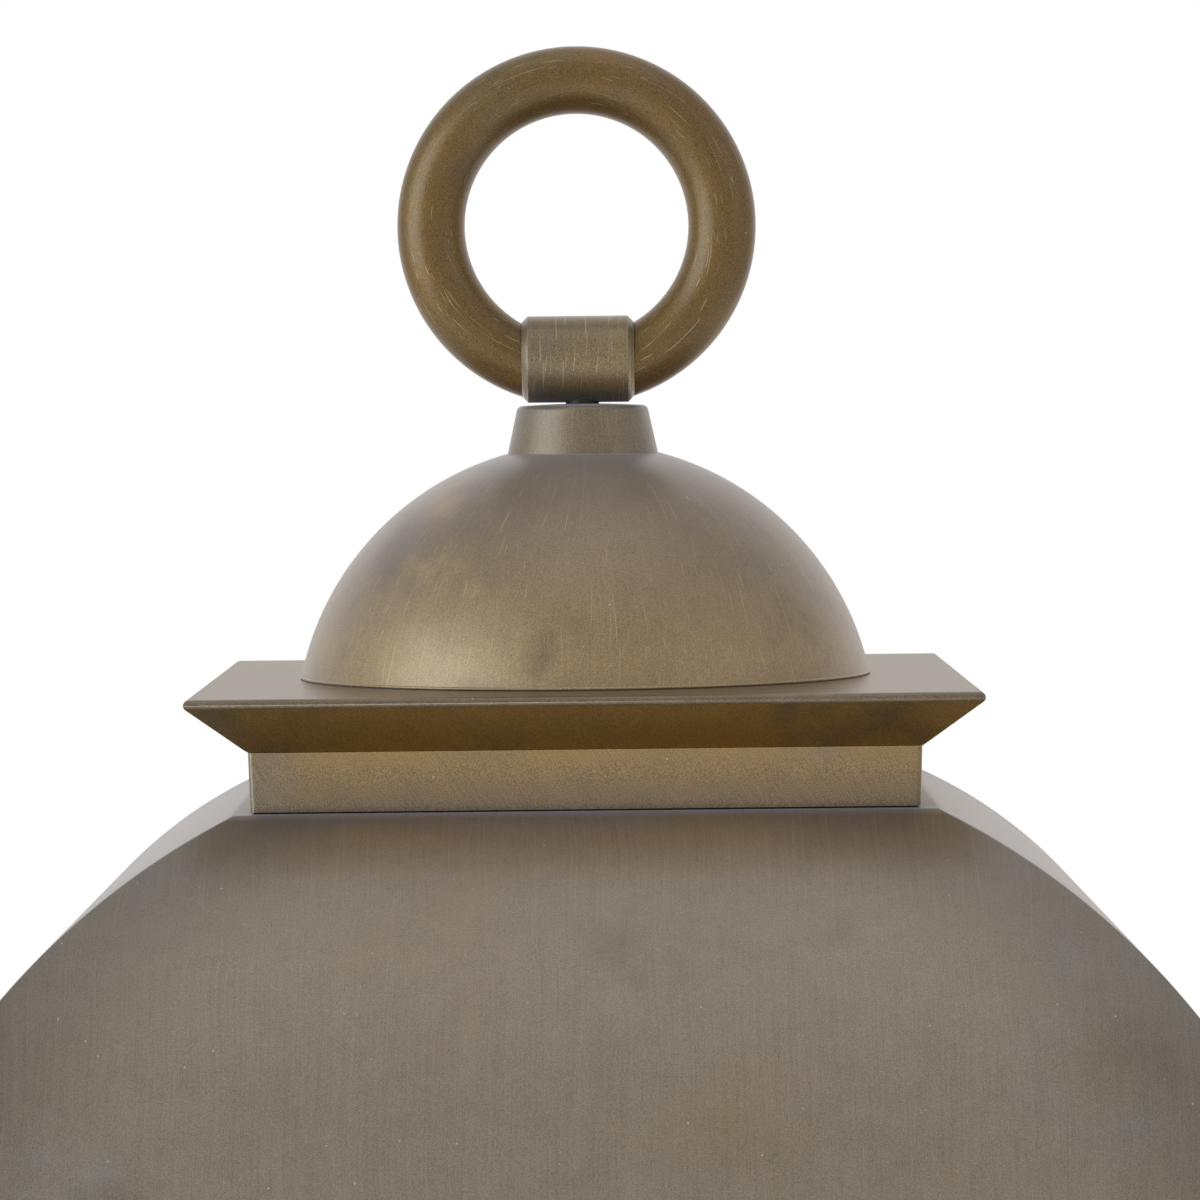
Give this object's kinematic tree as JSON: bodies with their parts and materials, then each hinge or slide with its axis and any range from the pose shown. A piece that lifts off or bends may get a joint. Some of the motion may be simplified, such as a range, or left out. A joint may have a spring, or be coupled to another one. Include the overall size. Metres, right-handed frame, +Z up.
{
  "type": "outdoor wall light",
  "caption": "Wall-mounted outdoor lantern: domed square metal roof with a ring finial, glazed cage with a hinged front door, candle lamps and a stepped backplate.",
  "frame": {"origin": "middle of the two strap slots, on the face of the wall", "axes": "+X right as seen from the front, +Y into the wall, +Z up; the lantern hangs out along -Y"},
  "size_m": [0.254, 0.285, 0.5558],
  "materials": {
    "aged_bronze": "satin burnished bronze brass, cloudy patina",
    "burnished_brass": "satin burnished brass, fine turned scratches",
    "black_rubber": "matt black foam rubber",
    "zinc_steel": "zinc plated steel",
    "blackened_steel": "blackened steel thread",
    "brass_screw": "slotted brass screws, rubbed",
    "pane_glass": "clear sheet glass",
    "black_phenolic": "moulded black phenolic",
    "ivory_tube": "ivory candle tube",
    "lamp_cap_brass": "thin rolled lamp cap",
    "bulb_glass": "thin clear bulb glass",
    "filament": "yellow phosphor rods",
    "green_screw": "green earth screw"
  },
  "bodies": {
    "housing": {"dome_cap": "burnished_brass", "dome_gasket": "black_rubber", "cornice": "aged_bronze", "neck_gasket": "black_rubber", "roof_shell": "aged_bronze", "roof_rim": "aged_bronze", "centre_rod": "blackened_steel", "crossbar": "zinc_steel", "crossbar_screws": "zinc_steel", "rod_washers": "zinc_steel", "rod_nuts": "zinc_steel", "top_frame": "aged_bronze", "bottom_frame": "aged_bronze", "corner_posts": "aged_bronze", "frame_screws": "brass_screw", "roof_screws": "zinc_steel", "base_screws": "zinc_steel", "glass_left": "pane_glass", "glass_right": "pane_glass", "glass_clips": "zinc_steel", "glass_clip_screws": "zinc_steel", "hinge_post_leaves": "aged_bronze", "hinge_pins": "brass_screw", "hinge_post_screws": "brass_screw", "base_tray": "aged_bronze", "base_moulding": "aged_bronze", "base_nipple": "zinc_steel", "hub_nut": "zinc_steel", "drop_finial": "burnished_brass", "lamp_hub": "aged_bronze", "lamp_arms": "aged_bronze", "drip_cups": "aged_bronze", "candle_sleeves": "ivory_tube", "lamp_sockets": "black_phenolic", "bulb_caps": "lamp_cap_brass", "bulb_glass": "bulb_glass", "bulb_stems": "bulb_glass", "bulb_filaments": "filament", "back_panel": "aged_bronze", "backplate": "aged_bronze", "wall_gasket": "black_rubber", "mounting_strap": "zinc_steel", "canopy_studs": "zinc_steel", "cap_nuts": "burnished_brass", "ground_screw": "green_screw", "upper_arm": "aged_bronze", "lower_arm": "aged_bronze", "arm_screws": "zinc_steel", "wire_bushing": "black_rubber"},
    "door": {"door_frame": "aged_bronze", "door_glass": "pane_glass", "door_clips": "zinc_steel", "door_clip_screws": "zinc_steel", "hinge_door_leaves": "aged_bronze", "hinge_door_screws": "brass_screw"},
    "latch": {"latch_knob": "burnished_brass", "latch_tongue": "zinc_steel"},
    "finial_collar": {"collar": "burnished_brass"},
    "finial": {"finial_ring": "burnished_brass", "ring_sleeve": "burnished_brass"}
  },
  "joints": [
    {"name": "door_hinge", "type": "hinge", "parent": "housing", "child": "door", "pos_m": [0.09835, -0.2532, -0.009], "axis": [0, 0, 1], "range_deg": [0, 110]},
    {"name": "latch_turn", "type": "hinge", "parent": "door", "child": "latch", "pos_m": [-0.08, -0.2594, -0.009], "axis": [0, 1, 0], "range_deg": [0, 90]},
    {"name": "finial_turn", "type": "hinge", "parent": "housing", "child": "finial_collar", "pos_m": [0, -0.158, 0.28], "axis": [0, 0, 1], "range_deg": [0, 2880]},
    {"name": "finial_lift", "type": "slide", "parent": "finial_collar", "child": "finial", "axis": [0, 0, 1], "range_m": [0, 0.0081]}
  ],
  "couplings": [
    {"joint": "finial_lift", "follows": "finial_turn", "m_per_rad": 0.00015915}
  ]
}
